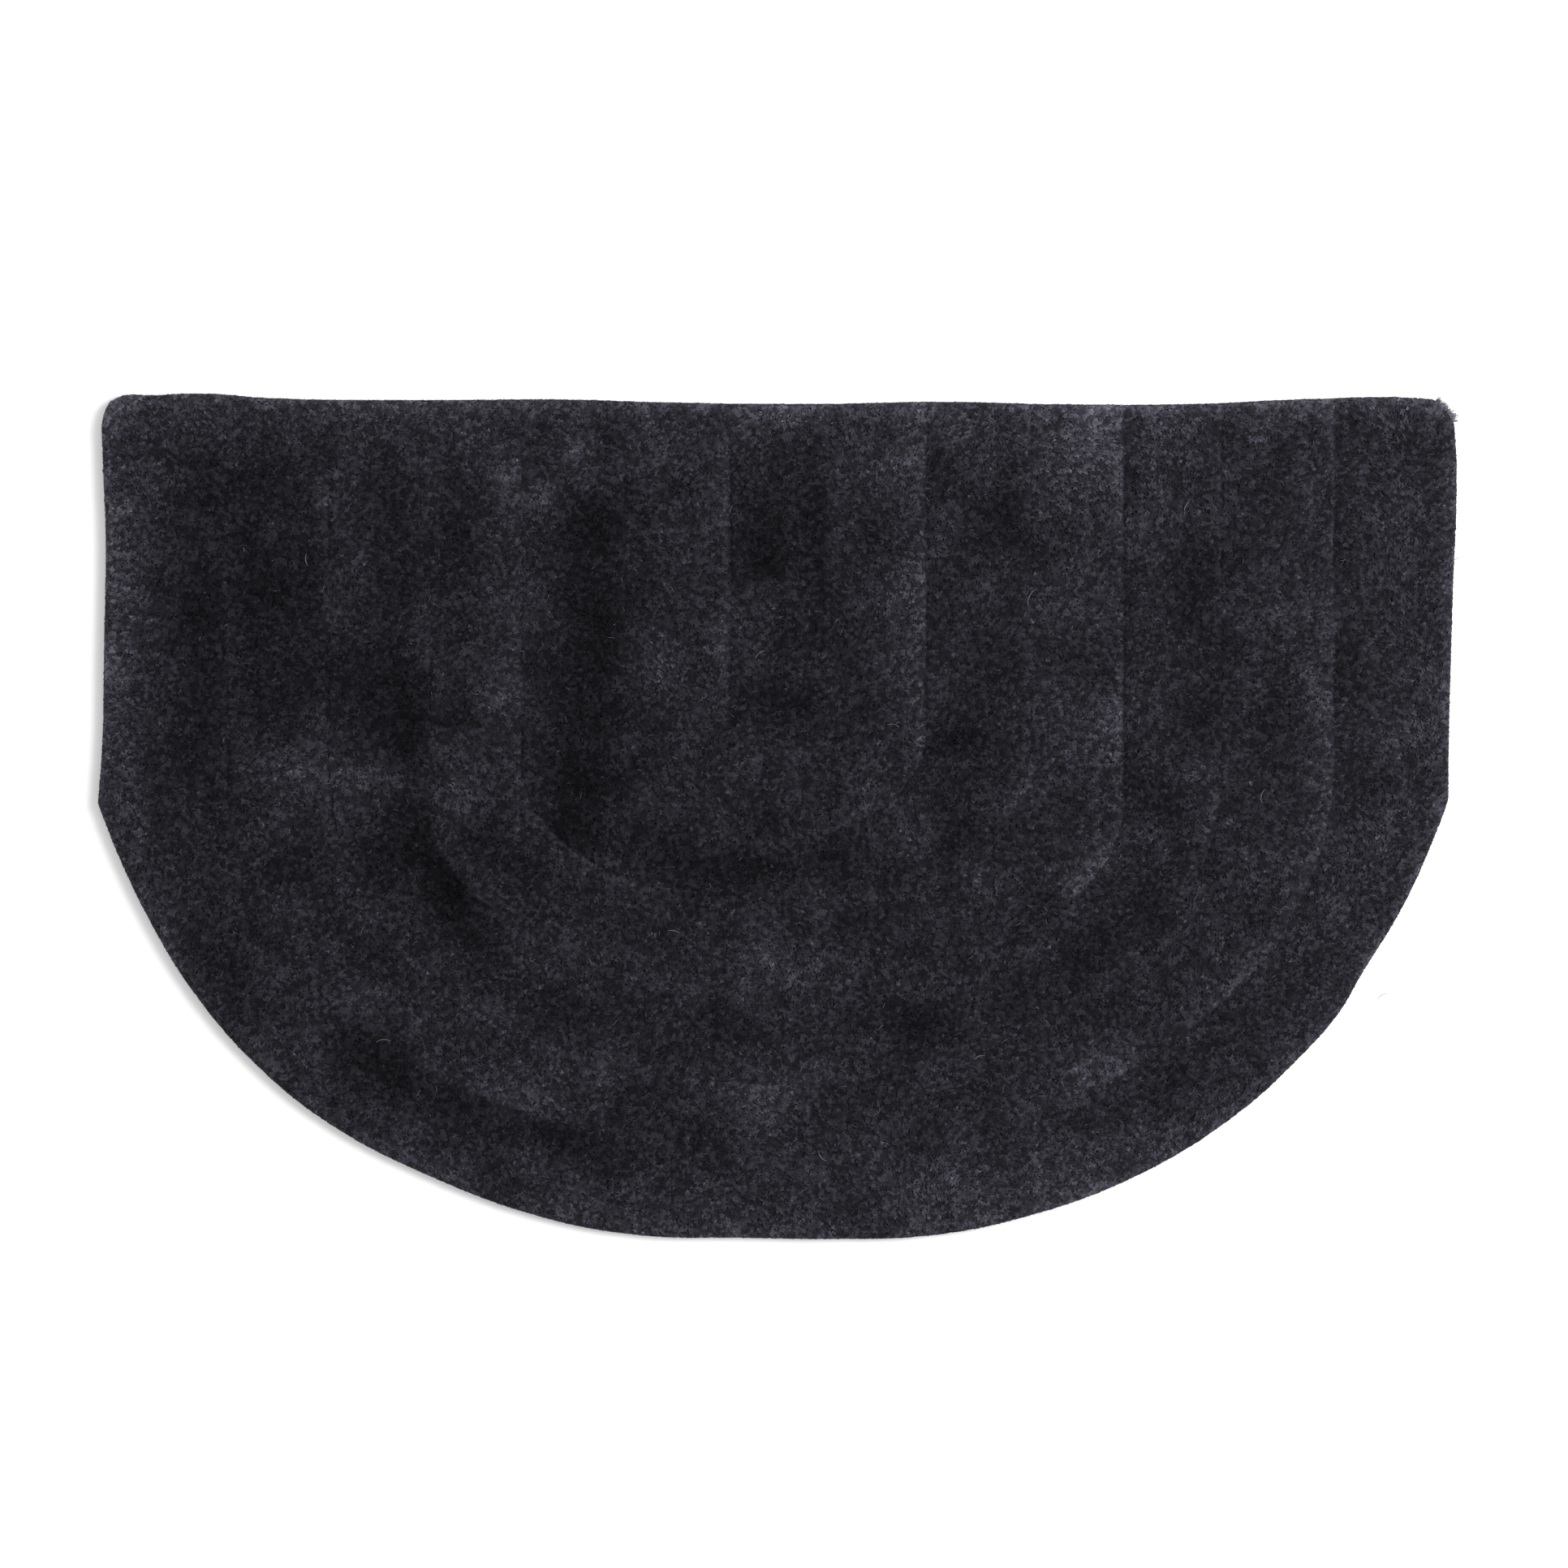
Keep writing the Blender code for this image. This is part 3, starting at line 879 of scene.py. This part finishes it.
def planting_tree(material):
    nodes = bpy.data.node_groups.new("planted_pile", "GeometryNodeTree")
    for name, kind in (
        ("Ground", "NodeSocketGeometry"),
        ("Spacing", "NodeSocketFloat"),
        ("Width", "NodeSocketFloat"),
        ("Tuft Size", "NodeSocketFloat"),
        ("Splay", "NodeSocketFloat"),
        ("Stray", "NodeSocketFloat"),
        ("Seed", "NodeSocketInt"),
    ):
        nodes.interface.new_socket(name=name, in_out="INPUT", socket_type=kind)
    nodes.interface.new_socket(name="Pile", in_out="OUTPUT", socket_type="NodeSocketGeometry")
    tree = Tree(nodes)
    given = tree.add("NodeGroupInput")

    def named(name, kind="FLOAT"):
        return tree.add("GeometryNodeInputNamedAttribute", {"data_type": kind}, name).out("Attribute")

    def chance(low, high, salt, kind="FLOAT"):
        index = tree.add("GeometryNodeInputIndex").out()
        seed = given.out("Seed") + salt
        return tree.add("FunctionNodeRandomValue", {"data_type": kind}, low, high, index, seed).out()

    def store(geometry, name, value, kind="FLOAT"):
        settings = {"data_type": kind, "domain": "POINT"}
        node = tree.add("GeometryNodeStoreNamedAttribute", settings, geometry, Name=name, Value=value)
        return node.out()

    def vector(operation, *values):
        return tree.add("ShaderNodeVectorMath", {"operation": operation}, *values).out()

    strands = tree.add(
        "GeometryNodeDistributePointsOnFaces",
        {"distribute_method": "POISSON"},
        given.out("Ground"),
        Distance_Min=given.out("Spacing"),
        Density_Max=DENSEST,
        Seed=given.out("Seed"),
    ).out("Points")
    place = tree.add("GeometryNodeInputPosition").out()
    tuft = tree.add(
        "ShaderNodeTexVoronoi", None, place, Scale=1.0 / TUFT_SIZE, Randomness=TUFT_DISORDER
    )
    lot = tree.add("ShaderNodeSeparateXYZ", None, tuft.out("Color"))
    fleck_draw = chance(0.0, 1.0, FLECK_DRAW)
    flecked = fleck_draw.maths("LESS_THAN", fleck_draw, FLECK_SHARE)
    speckled = 1.0 + flecked * (FLECK_PALENESS - 1.0)
    of_tuft = lot.out("X") ** 2.0 * DYE_OF_TUFT
    dye = (DYE_LEAST + of_tuft + chance(0.0, DYE_OF_STRAND, DYE_DRAW)) * speckled
    strands = store(strands, "yarn", dye)
    from_middle = vector("SUBTRACT", place, tuft.out("Position"))
    splayed = times(tree, from_middle, given.out("Splay") * (1.0 / TUFT_SIZE))
    anywhere = chance((-1.0, -1.0, 0.0), (1.0, 1.0, 0.0), STRAY_DRAW, "FLOAT_VECTOR")
    strayed = times(tree, anywhere, given.out("Stray"))
    aim = vector("ADD", vector("ADD", named("aim", "FLOAT_VECTOR"), splayed), strayed)
    angle = chance(0.0, math.tau, SPIN_DRAW)
    spin = tree.add("FunctionNodeAxisAngleToRotation", None, (0.0, 0.0, 1.0), angle).out()
    turned = tree.add("FunctionNodeAlignRotationToVector", {"axis": "Z"}, spin, 1.0, aim).out()
    thick = given.out("Width") * chance(THICK_LEAST, THICK_MOST, THICK_DRAW)
    own_length = chance(-LENGTH_OF_STRAND, LENGTH_OF_STRAND, LENGTH_DRAW)
    long = named("reach") * (LENGTH_LEAST + lot.out("Y") * LENGTH_OF_TUFT + own_length)
    size = tree.add("ShaderNodeCombineXYZ", None, thick, thick, long).out()
    spike = tree.add(
        "GeometryNodeMeshCone",
        {"fill_type": "NGON"},
        Vertices=3,
        Radius_Top=0.0,
        Radius_Bottom=0.5,
        Depth=1.0,
    ).out("Mesh")
    wedge = tree.add(
        "GeometryNodeTransform",
        None,
        spike,
        Translation=(0.0, 0.0, 1.0),
        Rotation=(math.pi, 0.0, 0.0),
    ).out()
    height = tree.add("ShaderNodeSeparateXYZ", None, place).out("Z")
    wedge = store(wedge, "tip", height)
    instances = tree.add(
        "GeometryNodeInstanceOnPoints", None, strands, Instance=wedge, Rotation=turned, Scale=size
    ).out()
    real = tree.add("GeometryNodeRealizeInstances", None, instances).out()
    dyed = tree.add("GeometryNodeSetMaterial", None, real, Material=material).out()
    tree.add("NodeGroupOutput", None, dyed)
    return nodes


planting = planting_tree(pile)
print(f"planting tree: {len(planting.nodes)} nodes")

# %% [markdown]
# ## Band by band
#
# The carved lines part the pile into bands, and each becomes a piece of its own. The border has
# more tufts than one piece should hold, so it is planted as a left and a right half. A patch of
# ground is cut out for each, the tree plants it, and only the planted pile is kept.

# %% Plant each band
def patch_of(name, wanted):
    """A copy of the ground's faces for which wanted is true."""
    data = ground.data.copy()
    cut = bmesh.new()
    cut.from_mesh(data)
    cut.faces.ensure_lookup_table()
    unwanted = [f for f, keep in zip(cut.faces, wanted) if not keep]
    bmesh.ops.delete(cut, geom=unwanted, context="FACES")
    cut.to_mesh(data)
    cut.free()
    patch = bpy.data.objects.new(name, data)
    bpy.context.scene.collection.objects.link(patch)
    return patch


# Where a wedge's root and its three corners go in its own square of the map. The wedge's first
# face covers the other three there, and they are drawn over it.
WEDGE_MAP = np.array([(0.5, 0.1), (0.1, 0.9), (0.9, 0.9), (0.5, 0.5)])


def map_wedges(data):
    """Gives each strand a square of its own on the UV map named OFBake."""
    strands = len(data.vertices) // len(WEDGE_MAP)
    across = math.ceil(math.sqrt(strands))
    corner = np.stack([np.arange(strands) % across, np.arange(strands) // across], axis=1)
    places = (corner[:, None, :] + WEDGE_MAP[None, :, :]).reshape(-1, 2) / across
    of_corner = np.zeros(len(data.loops), int)
    data.loops.foreach_get("vertex_index", of_corner)
    layer = data.uv_layers.new(name="OFBake")
    layer.data.foreach_set("uv", places[of_corner].ravel())


def plant(name, wanted, seed):
    patch = patch_of(name, wanted)
    modifier = patch.modifiers.new("planted_pile", "NODES")
    modifier.node_group = planting
    sizes = {
        "Spacing": STRAND_SPACING,
        "Width": STRAND_WIDTH,
        "Tuft Size": TUFT_SIZE,
        "Splay": TUFT_SPLAY,
        "Stray": STRAY,
        "Seed": seed,
    }
    for item in planting.interface.items_tree:
        if item.name in sizes:
            modifier[item.identifier] = sizes[item.name]
    bpy.context.view_layer.update()
    evaluated = patch.evaluated_get(bpy.context.evaluated_depsgraph_get())
    data = bpy.data.meshes.new_from_object(evaluated)
    bpy.data.objects.remove(patch, do_unlink=True)
    for spent in ("aim", "reach"):
        if spent in data.attributes:
            data.attributes.remove(data.attributes[spent])
    data.name = name
    data.shade_flat()
    map_wedges(data)
    piece = bpy.data.objects.new(name, data)
    bpy.context.scene.collection.objects.link(piece)
    return piece


faces = ground.data.polygons
centres = np.array([f.center for f in faces])
face_bands = band_of(centres[:, :2])
planted = centres[:, 2] > rim[-2]["height"]
parts = {
    "pile_border_left": (face_bands == 0) & (centres[:, 0] < 0),
    "pile_border_right": (face_bands == 0) & (centres[:, 0] >= 0),
}
for band in range(1, len(CARVED) + 1):
    parts[f"pile_band_{band}"] = face_bands == band
pile_pieces = []
for seed, (name, wanted) in enumerate(parts.items(), start=1):
    pile_pieces.append(plant(name, wanted & planted, seed))
for piece in pile_pieces:
    print(f"{piece.name}: {len(piece.data.polygons)} triangles")
print("all pile:", sum(len(p.data.polygons) for p in pile_pieces))

# %% [markdown]
# ## Loose fibres and the frayed corner
#
# A mat sheds. Short pale hairs lie all over the pile, a few longer ones curl on top of it, and at
# the right end of the straight edge the last tuft has frayed into a pale tassel. Each hair is a
# thin tube that tapers at both ends and follows a bent line.

# %% Scatter the hairs
HAIR_COLUMNS = ("x", "y", "length", "turn")
# The long hairs that the photograph shows, in millimetres and degrees from +X
LONG_HAIRS = (
    (146.4, 129.2, 12.0, 98),
    (353.8, -104.4, 9.0, 65),
    (238.4, 181.7, 8.0, 100),
    (396.0, 150.7, 9.0, 75),
    (-61.0, -66.0, 9.0, 20),
    (-278.0, 150.0, 8.0, 130),
    (-232.0, -130.0, 9.0, 35),
    (25.0, -201.0, 8.0, 160),
    (118.0, -140.0, 7.0, 50),
    (283.0, 12.0, 9.0, 110),
    (-12.0, 96.0, 8.0, 75),
    (68.0, 55.0, 8.0, 20),
)
LONG_STEPS, LONG_SIDES = 6, 5
SHORT_HAIRS = 900
# More places are drawn than needed, because some fall outside the mat
SPARE = 2
SHORT_STEPS = 3
SHORT_SLOPE, SHORT_BEND = 0.15, 0.3
SHORT_CLEARANCE = 6.0 * MM
FIBRE_SEED, FRAY_SEED = 7, 11
SHORT_LENGTH = (2.0 * MM, 4.5 * MM)
SHORT_RADIUS = 0.16 * MM
LONG_RADIUS = 0.24 * MM
HAIR_BEND = 0.25
HAIR_SINK = 0.2 * MM
HAIR_HEIGHT = mat_thickness - HAIR_SINK
# How thick a hair's ends are beside its middle, and when it counts as upright
HAIR_END, UPRIGHT = 0.35, 0.9
# The frayed yarn starts along this line, inside the corner, and spreads outwards from it
FRAY_FROM, FRAY_TO = Vector((0.3870, 0.2425, 0.0075)), Vector((0.3962, 0.2320, 0.0075))
FRAY_HAIRS = 220
FRAY_RADIUS = 0.30 * MM
FRAY_LENGTH = (2.5 * MM, 6.0 * MM)
FRAY_SPREAD = np.array([0.8, 0.8, 3.0])
FRAY_FAN = 90.0
FRAY_RISE = (-0.1, 0.5)
FRAY_BEND = 0.2
FRAY_STEPS = 4
FIBRE_PATCH_SCALE = 900.0
HAIR_PALE = (0.155, 0.150, 0.175, 1.0)
HAIR_DARK = (0.070, 0.067, 0.080, 1.0)
FRAY_PALE = (0.27, 0.26, 0.31, 1.0)
FRAY_DARK = (0.028, 0.027, 0.034, 1.0)


def add_hair(mesh, points, radius, sides=3):
    """Adds one closed, tapering tube that follows the points."""
    rings = []
    for number, point in enumerate(points):
        before = points[max(number - 1, 0)]
        after = points[min(number + 1, len(points) - 1)]
        along = (after - before).normalized()
        beside = Vector((0.0, 0.0, 1.0)) if abs(along.z) < UPRIGHT else Vector((1.0, 0.0, 0.0))
        side = along.cross(beside)
        side.normalize()
        up = side.cross(along)
        swell = math.sin(math.pi * (number + 0.5) / len(points))
        thick = radius * (HAIR_END + (1.0 - HAIR_END) * swell)
        turns = [math.tau * k / sides for k in range(sides)]
        ring = [point + thick * (side * math.cos(t) + up * math.sin(t)) for t in turns]
        rings.append([mesh.verts.new(place) for place in ring])
    for low, high in zip(rings, rings[1:]):
        for k in range(sides):
            j = (k + 1) % sides
            mesh.faces.new((low[k], low[j], high[j], high[k]))
    mesh.faces.new(list(reversed(rings[0])))
    mesh.faces.new(rings[-1])


def bent_line(start, way, length, bend, steps):
    """Points from start along way, which turns steadily to one side."""
    points = [Vector(start)]
    heading = Vector(way).normalized()
    side = heading.cross(Vector((0.0, 0.0, 1.0)))
    for _ in range(steps):
        points.append(points[-1] + heading * length / steps)
        heading = (heading + side * bend).normalized()
    return points


def hair_material(name, dark, pale):
    material, tree, shader = new_material(name, PILE_ROUGHNESS, PILE_SPECULAR)
    place = tree.add("ShaderNodeTexCoord").out("Object")
    patch = tree.add(
        "ShaderNodeTexNoise", None, place, Scale=FIBRE_PATCH_SCALE, Detail=1.0
    ).out("Fac")
    colour = mixed(tree, patch, dark, pale)
    tree.tree.links.new(colour.socket, shader.inputs["Base Color"])
    return material


def finish_hairs(name, mesh, material):
    bmesh.ops.recalc_face_normals(mesh, faces=mesh.faces)
    data = bpy.data.meshes.new(name)
    mesh.to_mesh(data)
    mesh.free()
    data.materials.append(material)
    data.shade_smooth()
    piece = bpy.data.objects.new(name, data)
    bpy.context.scene.collection.objects.link(piece)
    return piece


def loose_fibres():
    lots = np.random.default_rng(FIBRE_SEED)
    mesh = bmesh.new()
    for hair in read_table(HAIR_COLUMNS, LONG_HAIRS):
        turn = math.radians(hair["turn"])
        way = Vector((math.cos(turn), math.sin(turn), 0.0))
        middle = Vector((hair["x"] * MM, hair["y"] * MM, HAIR_HEIGHT + LONG_RADIUS))
        start = middle - way * hair["length"] * MM / 2
        line = bent_line(start, way, hair["length"] * MM, HAIR_BEND, LONG_STEPS)
        add_hair(mesh, line, LONG_RADIUS, LONG_SIDES)
    low, high = edge.min(axis=0), edge.max(axis=0)
    places = lots.uniform(low, high, (SHORT_HAIRS * SPARE, 2))
    places = places[inside(edge, places)]
    far = nearest_on(edge, places, closed=True)[0]
    least, most = (0.0, -SHORT_SLOPE, -SHORT_BEND), (math.tau, SHORT_SLOPE, SHORT_BEND)
    for x, y in places[far > SHORT_CLEARANCE][:SHORT_HAIRS]:
        turn, slope, bend = lots.uniform(least, most)
        way = (math.cos(turn), math.sin(turn), slope)
        length = lots.uniform(*SHORT_LENGTH)
        line = bent_line((x, y, HAIR_HEIGHT), way, length, bend, SHORT_STEPS)
        add_hair(mesh, line, SHORT_RADIUS)
    return finish_hairs("loose_fibres", mesh, hair_material("pale_fibre", HAIR_DARK, HAIR_PALE))


def frayed_corner():
    lots = np.random.default_rng(FRAY_SEED)
    mesh = bmesh.new()
    for _ in range(FRAY_HAIRS):
        shift = Vector(lots.uniform(-FRAY_SPREAD, FRAY_SPREAD)) * MM
        start = FRAY_FROM.lerp(FRAY_TO, lots.uniform(0.0, 1.0)) + shift
        turn = math.radians(lots.uniform(0.0, FRAY_FAN))
        way = (math.cos(turn), math.sin(turn), lots.uniform(*FRAY_RISE))
        length = lots.uniform(*FRAY_LENGTH)
        bend = lots.uniform(-FRAY_BEND, FRAY_BEND)
        add_hair(mesh, bent_line(start, way, length, bend, FRAY_STEPS), FRAY_RADIUS)
    return finish_hairs("frayed_corner", mesh, hair_material("frayed_yarn", FRAY_DARK, FRAY_PALE))


hairs = [loose_fibres(), frayed_corner()]
for piece in hairs:
    print(f"{piece.name}: {len(piece.data.polygons)} faces")

# %% [markdown]
# ## Handing over
#
# The pieces ride on the slab's body, and the ground stands in for the slab.

for piece in [ground, *pile_pieces, *hairs]:
    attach(piece, "root")
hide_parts("mat")
